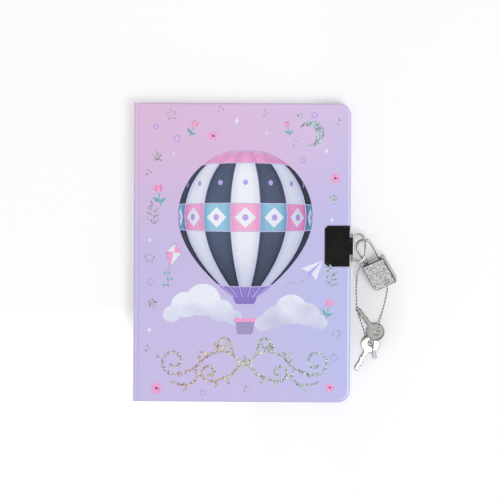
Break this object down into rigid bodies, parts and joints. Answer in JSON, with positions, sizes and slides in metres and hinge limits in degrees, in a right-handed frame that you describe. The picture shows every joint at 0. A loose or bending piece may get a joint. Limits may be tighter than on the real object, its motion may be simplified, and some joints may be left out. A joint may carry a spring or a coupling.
{
  "type": "locking diary",
  "caption": "Child's padded hard-cover diary in pastel lilac, closed by a chromed clip, ring and small padlock, with flat keys on a metallic cord",
  "frame": {"origin": "centre of the back cover's outer face, on which the closed diary lies", "axes": "+Z out of the front cover, +X from the spine to the fore edge with the lock, +Y to the head of the pages"},
  "size_m": [0.1763, 0.2, 0.0198],
  "materials": {
    "cover_print": "matte laminated print in a pastel gradient",
    "padding": "soft foam sheet",
    "greyboard": "raw",
    "endpaper": "matte",
    "leaf_paper": "matte",
    "lining_cloth": "open weave",
    "chrome": "polished",
    "satin_steel": "satin",
    "spring_steel": "bright",
    "hammered_face": "hammered, sparkling",
    "metallic_thread": "twisted, silvery"
  },
  "bodies": {
    "back_cover": {"back_wrap": "cover_print", "back_foam": "padding", "back_board": "greyboard", "back_endpaper": "endpaper", "back_flyleaf": "endpaper", "spine_lining": "lining_cloth", "section_1": "leaf_paper", "back_clip": "chrome"},
    "spine": {"spine_wrap": "cover_print", "spine_board": "greyboard", "back_crease": "cover_print"},
    "front_cover": {"front_wrap": "cover_print", "front_foam": "padding", "front_board": "greyboard", "front_endpaper": "endpaper", "front_clip": "chrome", "front_crease": "cover_print"},
    "section_2": {"section_2": "leaf_paper"},
    "section_3": {"section_3": "leaf_paper"},
    "section_4": {"section_4": "leaf_paper"},
    "section_5": {"section_5": "leaf_paper"},
    "section_6": {"section_6": "leaf_paper"},
    "section_7": {"section_7": "leaf_paper", "front_flyleaf": "endpaper"},
    "back_ring": {"back_ring": "chrome"},
    "front_ring": {"front_ring": "chrome"},
    "shackle": {"shackle": "chrome", "key_cord": "metallic_thread", "cord_knot": "metallic_thread"},
    "padlock": {"padlock_body": "satin_steel", "padlock_front_plate": "hammered_face", "padlock_back_plate": "hammered_face", "shackle_spring": "spring_steel", "latch_leaf": "spring_steel"},
    "key_plug": {"key_plug": "satin_steel"},
    "key_1": {"key_1": "chrome"},
    "key_2": {"key_2": "chrome"}
  },
  "joints": [
    {"name": "spine_hinge", "type": "hinge", "parent": "back_cover", "child": "spine", "pos_m": [-0.0717, 0, 0.00105], "axis": [0, -1, 0], "range_deg": [0, 5], "deforming": ["back_crease"]},
    {"name": "front_cover_hinge", "type": "hinge", "parent": "spine", "child": "front_cover", "pos_m": [-0.0717, 0, 0.01615], "axis": [0, -1, 0], "range_deg": [0, 180], "deforming": ["front_crease"]},
    {"name": "section_2_turn", "type": "hinge", "parent": "back_cover", "child": "section_2", "pos_m": [-0.06965, 0, 0.0062], "axis": [0, -1, 0], "range_deg": [0, 12.5]},
    {"name": "section_3_turn", "type": "hinge", "parent": "back_cover", "child": "section_3", "pos_m": [-0.06965, 0, 0.0074], "axis": [0, -1, 0], "range_deg": [0, 25]},
    {"name": "section_4_turn", "type": "hinge", "parent": "back_cover", "child": "section_4", "pos_m": [-0.06965, 0, 0.0086], "axis": [0, -1, 0], "range_deg": [0, 37.5]},
    {"name": "section_5_turn", "type": "hinge", "parent": "back_cover", "child": "section_5", "pos_m": [-0.06965, 0, 0.0098], "axis": [0, -1, 0], "range_deg": [0, 50]},
    {"name": "section_6_turn", "type": "hinge", "parent": "back_cover", "child": "section_6", "pos_m": [-0.06965, 0, 0.011], "axis": [0, -1, 0], "range_deg": [0, 62.5]},
    {"name": "section_7_turn", "type": "hinge", "parent": "back_cover", "child": "section_7", "pos_m": [-0.06965, 0, 0.0122], "axis": [0, -1, 0], "range_deg": [0, 75]},
    {"name": "back_ring_swing", "type": "hinge", "parent": "back_cover", "child": "back_ring", "pos_m": [0.0741, 0.00355, 0.0015], "axis": [0, 1, 0], "range_deg": [0, 90]},
    {"name": "front_ring_swing", "type": "hinge", "parent": "front_cover", "child": "front_ring", "pos_m": [0.0741, 0.00355, 0.0157], "axis": [0, -1, 0], "range_deg": [0, 90]},
    {"name": "padlock_swing", "type": "hinge", "parent": "front_ring", "child": "shackle", "pos_m": [0.0824, 0.00355, 0.0157], "axis": [0, -1, 0], "range_deg": [0, 45]},
    {"name": "shackle_release", "type": "slide", "parent": "shackle", "child": "padlock", "axis": [0.484, -0.8055, -0.342], "range_m": [0, 0.0036], "stiffness_N_per_m": 5, "deforming": ["shackle_spring", "latch_leaf"]},
    {"name": "key_plug_turn", "type": "hinge", "parent": "padlock", "child": "key_plug", "pos_m": [0.09704, -0.02096, 0.00589], "axis": [-0.484, 0.8055, 0.342], "range_deg": [0, 90], "stiffness_Nm_per_rad": 0.001},
    {"name": "key_1_swing", "type": "hinge", "parent": "shackle", "child": "key_1", "pos_m": [0.09033, -0.05355, 0.00284], "axis": [-0.0803, 0.1017, 0.9916], "range_deg": [-20, 0]},
    {"name": "key_2_swing", "type": "hinge", "parent": "shackle", "child": "key_2", "pos_m": [0.08683, -0.06028, 0.00098], "axis": [-0.0198, -0.0366, 0.9991], "range_deg": [-8, 25]}
  ],
  "couplings": [
    {"joint": "section_2_turn", "follows": "front_cover_hinge", "ratio": 0.069444},
    {"joint": "section_3_turn", "follows": "front_cover_hinge", "ratio": 0.13889},
    {"joint": "section_4_turn", "follows": "front_cover_hinge", "ratio": 0.20833},
    {"joint": "section_5_turn", "follows": "front_cover_hinge", "ratio": 0.27778},
    {"joint": "section_6_turn", "follows": "front_cover_hinge", "ratio": 0.34722},
    {"joint": "section_7_turn", "follows": "front_cover_hinge", "ratio": 0.41667}
  ]
}
